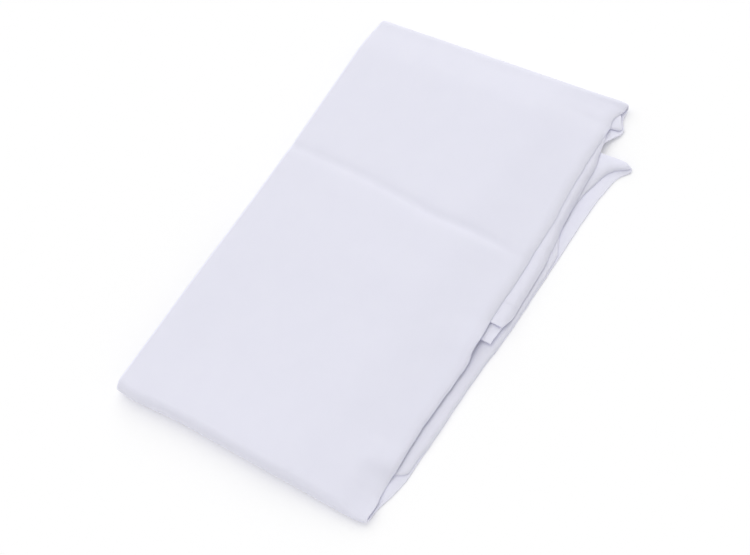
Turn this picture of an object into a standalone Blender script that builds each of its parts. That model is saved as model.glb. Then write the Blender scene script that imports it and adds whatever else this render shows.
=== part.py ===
"""A plain pillowcase, folded flat for the shelf.

One sheet, whose thickness stands for the case's front and back cloth lying together, is
folded in half across its width, with the closed fold on the left (-X), and then in three
along its length (Y).  From the floor up its panels are the bottom one, the inner one,
which is tucked in, and the top one.  The inner panel turns up into the top panel at the
far fold, and the top panel turns down into the bottom panel at the near fold.

Units are metres.  +Z is up, and the origin is under the middle of the folded case.
"""

import math
from typing import NamedTuple

import bpy
import numpy as np

MM = 0.001

# Driving dimensions
SHEET = 1.5 * MM            # thickness of one layer: the front and back cloth together
LAYER_PITCH = 2.6 * MM      # from the middle of one layer to the middle of the next
FOLDED_LENGTH = 324.5 * MM  # near fold to far fold, outside to outside
HALF_WIDTH = 200.0 * MM     # left fold to the open side's usual edge
BOTTOM_END = 285.5 * MM     # where the bottom panel stops
INNER_END_OUTER = 134.0 * MM    # where the inner panel's lower layer stops
INNER_END_UPPER = 146.5 * MM    # where the inner panel's upper layer stops

# Heights of the middle of each panel's two layers
BOTTOM_HEIGHT = SHEET / 2 + LAYER_PITCH / 2
INNER_HEIGHT = BOTTOM_HEIGHT + 2 * LAYER_PITCH
TOP_HEIGHT = INNER_HEIGHT + 2 * LAYER_PITCH
NEAR_RADIUS = (TOP_HEIGHT - BOTTOM_HEIGHT) / 2
FAR_RADIUS = (TOP_HEIGHT - INNER_HEIGHT) / 2
SHELL = LAYER_PITCH / 2 + SHEET / 2     # from a panel's middle to its outer face
NEAR_TURN = NEAR_RADIUS + SHELL         # the panels are straight between these two lines
FAR_TURN = FOLDED_LENGTH - FAR_RADIUS - SHELL

# Travel: the length along the sheet, from where the far fold starts
FAR_ARC = math.pi * FAR_RADIUS
NEAR_ARC = math.pi * NEAR_RADIUS
TOP_START = FAR_ARC
TOP_STOP = TOP_START + FAR_TURN - NEAR_TURN
BOTTOM_START = TOP_STOP + NEAR_ARC


def travel(panel, along):
    """Travel of a place in a panel, `along` being its distance from the near fold."""
    if panel == "inner":
        return along - FAR_TURN
    if panel == "top":
        return TOP_START + FAR_TURN - along
    return BOTTOM_START + along - NEAR_TURN


class Edge(NamedTuple):
    """How one layer's open edge lies at one place, in millimetres."""

    panel: str
    along: float    # distance from the near fold
    reach: float    # distance from the left fold
    lift: float     # height above (or, if negative, under) its place in the flat stack
    curl: float     # how far the last stretch of cloth turns down (or, if negative, up)


# The outer layer: upper one of the top panel, lower one of the inner and bottom panels
OUTER_EDGE = (
    Edge("inner", 134, 203.0, 0.0, 0.0),
    Edge("inner", 150, 205.0, 0.0, 0.0),
    Edge("inner", 200, 204.5, 0.0, 0.0),
    Edge("inner", 235, 200.0, 0.4, 0.0),
    Edge("inner", 270, 197.0, 0.9, 0.0),
    Edge("inner", 294, 198.2, 0.4, 0.0),
    Edge("inner", 304, 203.8, 0.2, 0.0),
    Edge("inner", 310, 200.0, 0.0, 0.0),
    Edge("inner", 317, 196.5, 0.3, 0.0),
    Edge("inner", 324, 199.4, 0.6, 0.0),
    Edge("top", 316, 198.6, 0.8, 0.8),
    Edge("top", 305, 196.4, 1.2, 1.8),
    Edge("top", 298, 198.6, 1.4, 1.6),
    Edge("top", 275, 198.4, 1.5, 1.4),
    Edge("top", 246, 199.0, 0.9, 1.2),
    Edge("top", 220, 200.2, 0.4, 1.2),
    Edge("top", 200, 199.6, 0.3, 1.2),
    Edge("top", 180, 199.9, 0.2, 1.2),
    Edge("top", 150, 199.0, 0.2, 1.0),
    Edge("top", 100, 199.4, 0.0, 1.0),
    Edge("top", 60, 198.6, -0.2, 1.2),
    Edge("top", 50, 197.2, -0.2, 1.2),
    Edge("top", 42, 198.6, -0.3, 1.4),
    Edge("top", 35, 197.8, -0.3, 1.4),
    Edge("top", 28, 199.5, -0.4, 1.8),
    Edge("top", 12, 196.8, -0.4, 1.0),
    Edge("bottom", 8, 195.5, 0.0, 0.0),
    Edge("bottom", 20, 198.8, 0.0, 0.0),
    Edge("bottom", 34, 201.2, 0.0, 0.0),
    Edge("bottom", 60, 202.4, 0.0, 0.0),
    Edge("bottom", 118, 205.0, 0.0, 0.0),
    Edge("bottom", 140, 207.5, 0.0, 0.0),
    Edge("bottom", 203, 209.9, 0.0, 0.0),
    Edge("bottom", 247, 211.4, 0.0, 0.0),
    Edge("bottom", 264, 213.6, 0.0, 0.0),
    Edge("bottom", 274, 216.2, 0.2, 0.0),
    Edge("bottom", 281, 221.6, 0.6, 0.0),
    Edge("bottom", 285.5, 216.5, 0.6, 0.0),
)

# The other layer, which lies inside every fold
INSIDE_EDGE = (
    Edge("inner", 146.5, 205.4, 0.3, 0.6),
    Edge("inner", 156, 208.4, 0.3, 0.8),
    Edge("inner", 192, 208.2, 0.3, 0.8),
    Edge("inner", 213, 207.0, 0.4, 0.7),
    Edge("inner", 226, 205.0, 0.6, 0.6),
    Edge("inner", 247, 203.8, 0.9, 0.5),
    Edge("inner", 272, 203.6, 1.1, 0.5),
    Edge("inner", 283, 200.2, 0.9, 0.3),
    Edge("inner", 293, 199.0, 0.5, 0.2),
    Edge("inner", 304, 205.9, 0.4, 0.2),
    Edge("inner", 310, 203.2, 0.3, 0.0),
    Edge("inner", 317, 200.0, 0.3, 0.0),
    Edge("top", 314, 199.0, 0.3, 0.0),
    Edge("top", 305, 194.0, 0.4, 0.2),
    Edge("top", 285, 190.0, 0.9, 0.3),
    Edge("top", 200, 190.0, 0.3, 0.0),
    Edge("top", 60, 190.0, 0.0, 0.3),
    Edge("top", 12, 190.0, 0.0, 0.3),
    Edge("bottom", 12, 191.0, 0.0, 0.0),
    Edge("bottom", 60, 196.0, 0.0, 0.3),
    Edge("bottom", 130, 198.0, 0.0, 0.3),
    Edge("bottom", 225, 199.0, 0.2, 0.0),
    Edge("bottom", 247, 202.5, 0.6, -0.7),
    Edge("bottom", 260, 206.2, 0.9, -1.5),
    Edge("bottom", 270, 209.1, 0.9, -1.7),
    Edge("bottom", 278, 214.6, 0.6, -1.2),
    Edge("bottom", 282, 220.6, 0.6, -0.2),
    Edge("bottom", 285.5, 215.8, 0.6, 0.0),
)

EDGE_BAND = 45 * MM     # how far in from the open edge a lift fades away
CURL_BAND = 9 * MM      # the stretch of cloth that a curl turns down (or up)
FAR_TUCK = 7.0 * MM     # how far the inside layer's far fold is drawn in at the open side
TUCK_BAND = 14 * MM     # the travel, either way from the far fold, over which it eases off


class Stretch(NamedTuple):
    """A stretch of the sheet that is cut into equal steps along its travel."""

    panel: str
    start: float    # millimetres from the near fold
    stop: float
    steps: int


TOP_STRETCHES = (
    Stretch("top", FAR_TURN / MM, 285, 8),
    Stretch("top", 285, 240, 4),
    Stretch("top", 240, 218, 2),
    Stretch("top", 218, 182, 9),
    Stretch("top", 182, 65, 6),
    Stretch("top", 65, NEAR_TURN / MM, 9),
)
BOTTOM_STRETCHES = (
    Stretch("bottom", NEAR_TURN / MM, 40, 4),
    Stretch("bottom", 40, 220, 8),
    Stretch("bottom", 220, 265, 4),
    Stretch("bottom", 265, BOTTOM_END / MM, 6),
)
INNER_STEPS = (0.0, 0.03, 0.1, 0.25, 0.4, 0.55, 0.66, 0.75, 0.81, 0.85, 0.88, 0.91, 0.94, 0.97)
FAR_FOLD_STEPS = 7
NEAR_FOLD_STEPS = 8

# Columns: distances in from the open edge, in millimetres, then the closed left fold
OPEN_SIDE_COLUMNS = (0, 4, 8, 14, 24, 38, 54)
MIDDLE_COLUMNS = (0.63, 0.52, 0.41, 0.3, 0.19, 0.1, 0.04)     # shares of the layer's width
LEFT_FOLD_STEPS = 6


class Shift(NamedTuple):
    """How far a fold's line lies from straight at one place, in millimetres."""

    place: float
    by: float


# The left fold's line, by distance from the near fold: it bows in at its middle
LEFT_LINE = (
    Shift(0, -0.8),
    Shift(40, -0.4),
    Shift(96, 0.3),
    Shift(148, 1.5),
    Shift(197, 1.9),
    Shift(247, 1.1),
    Shift(287, 0.1),
    Shift(325, -0.8),
)
LEFT_LINE_BAND = 90 * MM

# The near fold's line, by distance from the left fold: it comes forward at the left corner
NEAR_LINE = (
    Shift(-3, -2.2),
    Shift(11, -3.3),
    Shift(25, -2.4),
    Shift(39, -1.4),
    Shift(60, -0.7),
    Shift(110, -0.6),
    Shift(150, -0.1),
    Shift(180, 0.3),
)
NEAR_LINE_BAND = 40 * MM

# The far fold's line, by distance from the left fold: it is drawn in at the right corner
FAR_LINE = (
    Shift(0, 3.3),
    Shift(30, 3.1),
    Shift(100, 2.1),
    Shift(160, 1.4),
    Shift(182, 1.2),
    Shift(190, 0.4),
    Shift(195, -0.8),
    Shift(200, -2.6),
)
FAR_LINE_BAND = 60 * MM


class Crease(NamedTuple):
    """Where the cross crease lies at one place, and how deep it is, in millimetres."""

    across: float
    along: float
    depth: float


# The cross crease is a slack trough over the top panel
CROSS_CREASE = (
    Crease(0, 204.5, 0.7),
    Crease(52, 203.2, 1.1),
    Crease(101, 199.0, 1.1),
    Crease(126, 196.4, 1.3),
    Crease(160, 196.2, 1.5),
    Crease(203, 193.0, 1.7),
)
CREASE_HALF_WIDTH = 7.5 * MM

# The far fold sinks past the bottom panel's end
FAR_DROOP = 3.6 * MM
DROOP_START = BOTTOM_END + 5 * MM

# The top panel sinks over the hollow in the near half, which the inner panel doesn't reach
HOLLOW_SAG = 1.4 * MM
HOLLOW_STOP = INNER_END_OUTER + 20 * MM
HOLLOW_EASE = 55 * MM   # the stretch over which the sag comes in from each side

# The hollow is pressed shut at the near right corner
CORNER_PINCH = 3.0 * MM
PINCH_ACROSS = 45 * MM
PINCH_ALONG = 46 * MM

# The near fold's underside spreads out at the near left corner
CORNER_FLARE = 4.0 * MM
FLARE_ACROSS = 45 * MM
FLARE_ALONG = 30 * MM

# The underside is just off the floor where it turns up into the left and near folds
FOLD_LIFT = 0.3 * MM
FOLD_LIFT_BAND = 25 * MM
FLOOR_PRESS = 0.06 * MM     # cloth this near the floor lies flat on it


def smooth(value):
    """A ramp from 0 to 1 with no corner at either end."""
    value = np.clip(value, 0.0, 1.0)
    return value * value * (3.0 - 2.0 * value)


def along_curve(places, values, at):
    """Read a smooth curve, which never overshoots its points, at the places `at`."""
    places = np.asarray(places, float)
    values = np.asarray(values, float)
    steps = np.diff(places)
    slopes = np.diff(values) / steps
    tangents = np.zeros(len(places))
    same_way = slopes[:-1] * slopes[1:] > 0
    mean = 2 * slopes[:-1] * slopes[1:] / np.where(same_way, slopes[:-1] + slopes[1:], 1.0)
    tangents[1:-1] = np.where(same_way, mean, 0.0)
    at = np.clip(at, places[0], places[-1])
    index = np.clip(np.searchsorted(places, at, side="right") - 1, 0, len(steps) - 1)
    share = (at - places[index]) / steps[index]
    span = steps[index]
    blend = share * share * (3 - 2 * share)
    leave = share * (1 - share) * (1 - share) * span * tangents[index]
    arrive = share * share * (share - 1) * span * tangents[index + 1]
    return values[index] * (1 - blend) + values[index + 1] * blend + leave + arrive


def edge_curve(rows, field, at):
    """Read one column of an edge table at the travels `at`, in metres."""
    places = [travel(row.panel, row.along * MM) for row in rows]
    values = [getattr(row, field) * MM for row in rows]
    return along_curve(places, values, at)


def spine(at):
    """Place and outward direction, in the Y-Z plane, of the sheet's middle line."""
    y = np.where(at < 0, FAR_TURN + at, 0.0)
    z = np.where(at < 0, INNER_HEIGHT, 0.0)
    out_y = np.zeros_like(at)
    out_z = np.where(at < 0, -1.0, 0.0)

    far = (at >= 0) & (at < TOP_START)
    angle = at / FAR_RADIUS - math.pi / 2
    y = np.where(far, FAR_TURN + FAR_RADIUS * np.cos(angle), y)
    z = np.where(far, INNER_HEIGHT + FAR_RADIUS * (1 + np.sin(angle)), z)
    out_y = np.where(far, np.cos(angle), out_y)
    out_z = np.where(far, np.sin(angle), out_z)

    top = (at >= TOP_START) & (at < TOP_STOP)
    y = np.where(top, FAR_TURN - (at - TOP_START), y)
    z = np.where(top, TOP_HEIGHT, z)
    out_z = np.where(top, 1.0, out_z)

    near = (at >= TOP_STOP) & (at < BOTTOM_START)
    angle = (at - TOP_STOP) / NEAR_RADIUS + math.pi / 2
    y = np.where(near, NEAR_TURN + NEAR_RADIUS * np.cos(angle), y)
    z = np.where(near, BOTTOM_HEIGHT + NEAR_RADIUS * (1 + np.sin(angle)), z)
    out_y = np.where(near, np.cos(angle), out_y)
    out_z = np.where(near, np.sin(angle), out_z)

    bottom = at >= BOTTOM_START
    y = np.where(bottom, NEAR_TURN + at - BOTTOM_START, y)
    z = np.where(bottom, BOTTOM_HEIGHT, z)
    out_z = np.where(bottom, -1.0, out_z)
    return y, z, out_y, out_z


def row_travels(inner_end):
    """Travels of the grid's rows in a column whose inner panel stops at inner_end."""
    first = travel("inner", inner_end)
    rows = [first * (1 - share) for share in INNER_STEPS]
    rows += [TOP_START * step / FAR_FOLD_STEPS for step in range(FAR_FOLD_STEPS)]
    for panel, start, stop, steps in TOP_STRETCHES:
        for step in range(steps):
            rows.append(travel(panel, (start + (stop - start) * step / steps) * MM))
    rows += [TOP_STOP + NEAR_ARC * step / NEAR_FOLD_STEPS for step in range(NEAR_FOLD_STEPS)]
    for panel, start, stop, steps in BOTTOM_STRETCHES:
        for step in range(steps):
            rows.append(travel(panel, (start + (stop - start) * step / steps) * MM))
    rows.append(travel("bottom", BOTTOM_END))
    return np.array(rows)


def layer_columns(rows, side, inner_end):
    """Points of one layer's columns, from its open edge in to the left fold.

    `side` is +1 for the outer layer and -1 for the one inside the folds.
    """
    at = row_travels(inner_end)
    y, z, out_y, out_z = spine(at)
    reach = edge_curve(rows, "reach", at)
    lift = edge_curve(rows, "lift", at)
    curl = edge_curve(rows, "curl", at)
    past_far_fold = np.maximum(np.abs(at - FAR_ARC / 2) - FAR_ARC / 2, 0.0)
    by_far_fold = np.exp(-(past_far_fold / TUCK_BAND) ** 2)
    tuck = FAR_TUCK * by_far_fold if side < 0 else np.zeros_like(at)
    inwards = [np.full_like(at, distance * MM) for distance in OPEN_SIDE_COLUMNS]
    inwards += [reach * (1 - share) for share in MIDDLE_COLUMNS]
    columns = []
    for distance in inwards:
        near_edge = smooth(1 - distance / EDGE_BAND)
        turned = curl * np.clip(1 - distance / CURL_BAND, 0, 1) ** 2
        offset = side * LAYER_PITCH / 2
        columns.append(np.stack((reach - distance,
                                 y + offset * out_y - tuck * near_edge,
                                 z + offset * out_z + lift * near_edge - turned), axis=1))
    return columns


def left_fold_columns():
    """Points round the closed left fold, from the outer layer to the other one."""
    columns = []
    for step in range(LEFT_FOLD_STEPS + 1):
        share = step / LEFT_FOLD_STEPS
        angle = math.pi * share
        end = INNER_END_OUTER + (INNER_END_UPPER - INNER_END_OUTER) * share
        y, z, out_y, out_z = spine(row_travels(end))
        offset = LAYER_PITCH / 2 * math.cos(angle)
        across = -LAYER_PITCH / 2 * math.sin(angle)
        columns.append(np.stack((np.full_like(y, across),
                                 y + offset * out_y,
                                 z + offset * out_z), axis=1))
    return columns


def read_rows(rows, key, field, at):
    """Read one column of a table by another, its key, at the places `at`, in metres."""
    places = [getattr(row, key) * MM for row in rows]
    values = [getattr(row, field) * MM for row in rows]
    return along_curve(places, values, at)


def settle_across(x, y, z):
    """How far the stack's uneven lie moves each point in X and in Y."""
    left = read_rows(LEFT_LINE, "place", "by", y) * smooth(1 - x / LEFT_LINE_BAND)
    low = smooth(1 - (z - BOTTOM_HEIGHT) / (2 * NEAR_RADIUS))
    corner = smooth(1 - x / FLARE_ACROSS) * smooth(1 - y / FLARE_ALONG)
    near = read_rows(NEAR_LINE, "place", "by", x) * smooth(1 - (y - NEAR_TURN) / NEAR_LINE_BAND)
    far = read_rows(FAR_LINE, "place", "by", x) * smooth(1 + (y - FAR_TURN) / FAR_LINE_BAND)
    return left - CORNER_FLARE * low * corner, near + far


def settle_down(x, y, z):
    """How far the stack's uneven lie sinks each point."""
    droop = FAR_DROOP * smooth((y - DROOP_START) / (FOLDED_LENGTH - DROOP_START))

    # The cloth above takes the most of a crease or sag, and the bottom panel none
    lightness = np.clip((z - BOTTOM_HEIGHT - SHELL) / (TOP_HEIGHT - BOTTOM_HEIGHT - SHELL), 0, 2)
    from_crease = (y - read_rows(CROSS_CREASE, "across", "along", x)) / CREASE_HALF_WIDTH
    crease = read_rows(CROSS_CREASE, "across", "depth", x) * np.exp(-from_crease ** 2)
    over_hollow = smooth(y / HOLLOW_EASE) * smooth((HOLLOW_STOP - y) / HOLLOW_EASE)
    between_sides = smooth(x / HOLLOW_EASE) * smooth((HALF_WIDTH - x) / HOLLOW_EASE)
    sag = HOLLOW_SAG * over_hollow * between_sides

    by_corner = smooth(1 - (HALF_WIDTH - x) / PINCH_ACROSS) * smooth(1 - y / PINCH_ALONG)
    height = np.clip((z - BOTTOM_HEIGHT - SHELL) / (2 * NEAR_RADIUS - 2 * SHELL), 0, 1)
    pinch = CORNER_PINCH * by_corner * height

    by_left_fold = smooth(1 - x / FOLD_LIFT_BAND)
    by_near_fold = smooth(1 - (y - NEAR_TURN) / FOLD_LIFT_BAND)
    lift = FOLD_LIFT * np.maximum(by_left_fold, by_near_fold)
    return droop + (crease + sag) * lightness + pinch - lift


def settle(points):
    """Give the neat stack the uneven lie of real cloth."""
    x, y, z = points[..., 0], points[..., 1], points[..., 2]
    move_x, move_y = settle_across(x, y, z)
    return np.stack((x + move_x, y + move_y, z - settle_down(x, y, z)), axis=-1)


def sheet_middle():
    """The middle surface of the folded sheet: an array of columns, rows and X, Y, Z."""
    outer = layer_columns(OUTER_EDGE, 1, INNER_END_OUTER)
    inside = layer_columns(INSIDE_EDGE, -1, INNER_END_UPPER)
    return settle(np.array(outer + left_fold_columns() + inside[::-1]))


def lay_on_floor(sheet):
    """Make the thickened sheet plain faces, over the origin and pressed flat on the floor."""
    depsgraph = bpy.context.evaluated_depsgraph_get()
    depsgraph.update()
    cloth = bpy.data.meshes.new_from_object(sheet.evaluated_get(depsgraph))
    sheet.modifiers.clear()
    sheet.data = cloth
    corners = np.array([vertex.co for vertex in cloth.vertices])
    middle = (corners.min(axis=0) + corners.max(axis=0)) / 2
    for vertex in cloth.vertices:
        vertex.co.x -= middle[0]
        vertex.co.y -= middle[1]
        if vertex.co.z < FLOOR_PRESS:
            vertex.co.z = 0.0


def cotton():
    """Plain bleached cotton, a cool white."""
    material = bpy.data.materials.new("bleached cotton")
    material.use_nodes = True
    shader = material.node_tree.nodes["Principled BSDF"]
    shader.inputs["Base Color"].default_value = (0.77, 0.77, 0.86, 1.0)
    shader.inputs["Roughness"].default_value = 0.9
    shader.inputs["Metallic"].default_value = 0.0
    return material


def build_case():
    """Build the folded case: its middle surface, thickened to one closed solid."""
    grid = sheet_middle()
    columns, rows, _ = grid.shape
    vertices = grid.reshape(-1, 3).tolist()
    faces = []
    for column in range(columns - 1):
        for row in range(rows - 1):
            first = column * rows + row
            faces.append((first, first + 1, first + rows + 1, first + rows))
    mesh = bpy.data.meshes.new("case")
    mesh.from_pydata(vertices, [], faces)
    mesh.materials.append(cotton())
    mesh.shade_smooth()
    case = bpy.data.objects.new("case", mesh)
    bpy.context.scene.collection.objects.link(case)
    thicken = case.modifiers.new("sheet thickness", "SOLIDIFY")
    thicken.thickness = SHEET
    thicken.offset = 0.0
    thicken.use_even_offset = True
    lay_on_floor(case)
    return case


def main():
    """Clear the scene and build the pillowcase."""
    for item in list(bpy.data.objects):
        bpy.data.objects.remove(item, do_unlink=True)
    build_case()


main()
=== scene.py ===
"""A plain white cotton pillowcase, folded flat for the shelf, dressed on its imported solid.

The sheet that lies here stands for the case's front and back cloth together.  It is folded
in half across its width, with the closed fold on the left (-X), and then in three along its
length (Y): bottom panel, inner panel and top panel, from the floor up.

Sizes in the tables are millimetres, measured from the left fold and from the near fold.
Everything that is built is in metres.
"""

import logging
import math
from dataclasses import dataclass, field
from enum import Enum
from typing import ClassVar, Sequence

import bpy
import numpy as np
from mathutils import Matrix

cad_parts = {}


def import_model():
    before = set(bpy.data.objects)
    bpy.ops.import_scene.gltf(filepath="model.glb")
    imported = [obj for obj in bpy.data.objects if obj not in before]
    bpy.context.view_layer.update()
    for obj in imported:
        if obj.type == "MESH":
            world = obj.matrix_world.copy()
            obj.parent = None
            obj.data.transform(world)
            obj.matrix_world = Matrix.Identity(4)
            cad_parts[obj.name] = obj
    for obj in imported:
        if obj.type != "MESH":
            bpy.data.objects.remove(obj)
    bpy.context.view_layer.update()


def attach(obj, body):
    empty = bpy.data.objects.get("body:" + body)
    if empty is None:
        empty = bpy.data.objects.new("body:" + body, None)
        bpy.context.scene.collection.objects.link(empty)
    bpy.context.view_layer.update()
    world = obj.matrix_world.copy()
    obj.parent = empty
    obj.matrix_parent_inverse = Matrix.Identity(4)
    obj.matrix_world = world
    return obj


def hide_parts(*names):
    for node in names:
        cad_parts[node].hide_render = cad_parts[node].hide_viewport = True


MM = 0.001
BODY = "root"
CLOTH_MAP = "flat cloth"

log = logging.getLogger("pillowcase")


class Panel(Enum):
    """The three panels that the folds along the length make."""

    INNER = "inner"
    TOP = "top"
    BOTTOM = "bottom"


class Side(Enum):
    """The two layers that the fold across the width makes."""

    OUTER = 1
    INSIDE = -1


def smooth(value: np.ndarray) -> np.ndarray:
    """A ramp from 0 to 1 with no corner at either end."""
    value = np.clip(value, 0.0, 1.0)
    return value * value * (3.0 - 2.0 * value)


def bell(value: np.ndarray) -> np.ndarray:
    """A soft bump of height 1 at 0 that has died away by 2."""
    return np.exp(-value * value)



def between(value: np.ndarray, start: float, stop: float, ease: float) -> np.ndarray:
    """A rise from 0 at start to 1, and a fall back to 0 at stop, each over a length of ease."""
    return smooth((value - start) / ease) * smooth((stop - value) / ease)


def along_curve(places: Sequence[float], values: Sequence[float], at: np.ndarray) -> np.ndarray:
    """Read a smooth curve, which never overshoots its points.

    Args:
        places: The curve's places, rising.
        values: The curve's value at each place.
        at: The places to read it at.

    Returns:
        The curve's values there.
    """
    places = np.asarray(places, float)
    values = np.asarray(values, float)
    steps = np.diff(places)
    slopes = np.diff(values) / steps
    tangents = np.zeros(len(places))
    same_way = slopes[:-1] * slopes[1:] > 0
    mean = 2 * slopes[:-1] * slopes[1:] / np.where(same_way, slopes[:-1] + slopes[1:], 1.0)
    tangents[1:-1] = np.where(same_way, mean, 0.0)
    at = np.clip(at, places[0], places[-1])
    index = np.clip(np.searchsorted(places, at, side="right") - 1, 0, len(steps) - 1)
    share = (at - places[index]) / steps[index]
    span = steps[index]
    blend = share * share * (3 - 2 * share)
    leave = share * (1 - share) * (1 - share) * span * tangents[index]
    arrive = share * share * (share - 1) * span * tangents[index + 1]
    return values[index] * (1 - blend) + values[index + 1] * blend + leave + arrive


@dataclass(frozen=True)
class Steps:
    """Steps whose size changes evenly from a first one to a last one."""

    first: float
    last: float

    def cut(self, start: float, stop: float) -> list[float]:
        """Cut a length into these steps.

        Args:
            start: Where the length starts.
            stop: Where it stops.

        Returns:
            The places between the steps, with start and without stop.
        """
        count = max(1, round(2 * abs(stop - start) / (self.first + self.last)))
        sizes = np.linspace(self.first, self.last, count)
        places = np.concatenate(([0.0], np.cumsum(sizes)[:-1])) / sizes.sum()
        return [start + (stop - start) * place for place in places]


def evenly(start: float, stop: float, count: int) -> list[float]:
    """The places between `count` equal steps, with start and without stop."""
    return np.linspace(start, stop, count, endpoint=False).tolist()


def put_in_scene(name: str, data: bpy.types.ID) -> bpy.types.Object:
    """Make an object and put it in the scene, at the origin.

    Args:
        name: The object's name.
        data: Its mesh, lamp or lens.

    Returns:
        The object.
    """
    thing = bpy.data.objects.new(name, data)
    bpy.context.scene.collection.objects.link(thing)
    return thing


def facing(sideways: np.ndarray, upwards: np.ndarray, backwards: np.ndarray) -> Matrix:
    """The turn that gives an object these directions as its own X, Y and Z."""
    return Matrix(np.column_stack((sideways, upwards, backwards)).tolist()).to_4x4()


class Wiring:
    """A node tree that is being built."""

    def __init__(self, tree: bpy.types.NodeTree) -> None:
        """Take the tree that the nodes go in."""
        self.tree = tree

    def sockets(self, way: str, carries: str, *names: str) -> None:
        """Give a group some of its inputs or outputs.

        Args:
            way: INPUT or OUTPUT.
            carries: What goes through them: Float, Int, Vector or Geometry.
            names: Their names.
        """
        for name in names:
            self.tree.interface.new_socket(name, in_out=way, socket_type=f"NodeSocket{carries}")

    def feed(self, node: bpy.types.Node, inputs: dict[str | int, object]) -> None:
        """Set or link some of a node's inputs.

        Args:
            node: The node.
            inputs: For each input's name or number, its value or the output that feeds it.
        """
        for place, value in inputs.items():
            if isinstance(value, bpy.types.NodeSocket):
                self.tree.links.new(value, node.inputs[place])
            else:
                node.inputs[place].default_value = value

    def node(self, kind: str, inputs: dict[str | int, object] | None = None,
             **settings: object) -> bpy.types.Node:
        """Add a node.

        Args:
            kind: Its type.
            inputs: For each input's name or number, its value or the output that feeds it.
            settings: The node's own settings, made before its inputs are fed.

        Returns:
            The node.
        """
        node = self.tree.nodes.new(kind)
        for name, value in settings.items():
            setattr(node, name, value)
        self.feed(node, inputs or {})
        return node

    def compute(self, operation: str, *values: object, clamp: bool = False) -> bpy.types.NodeSocket:
        """Add a Math node.

        Args:
            operation: What it works out.
            values: For each of its inputs, a number or the output that feeds it.
            clamp: Whether it keeps its result from 0 to 1.

        Returns:
            Its output.
        """
        node = self.node("ShaderNodeMath", dict(enumerate(values)),
                         operation=operation, use_clamp=clamp)
        return node.outputs["Value"]


@dataclass(frozen=True)
class EdgePoint:
    """How one layer's open edge lies at one place."""

    panel: Panel
    along: float    # from the near fold
    reach: float    # from the left fold
    lift: float     # above (or, if negative, under) its place in the flat stack
    body: float     # share of the cloth's thickness that is left at its rim
    curl: float = 0.0       # how far its last stretch turns down from there
    turn: float = 30.0      # how steeply its rim points down then, in degrees


@dataclass(frozen=True)
class Shift:
    """How far a fold's line lies from straight at one place."""

    place: float
    by: float


@dataclass(frozen=True)
class CreasePoint:
    """Where a crease lies at one place, and how deep it is there."""

    across: float
    along: float
    depth: float


@dataclass(frozen=True)
class SoftFold:
    """A short trough (or, with a negative depth, a ridge) in the top panel."""

    from_across: float
    from_along: float
    to_across: float
    to_along: float
    depth: float
    half_width: float


@dataclass(frozen=True)
class Dimple:
    """A shallow hollow in the top panel."""

    across: float
    along: float
    depth: float
    radius: float


@dataclass(frozen=True)
class Pucker:
    """A small gather in the near fold's rounded face, running along it."""

    from_across: float
    to_across: float
    turn: float         # degrees round the fold, from the top panel down
    slant: float        # change of turn from one end to the other
    depth: float
    half_width: float   # degrees


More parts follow.
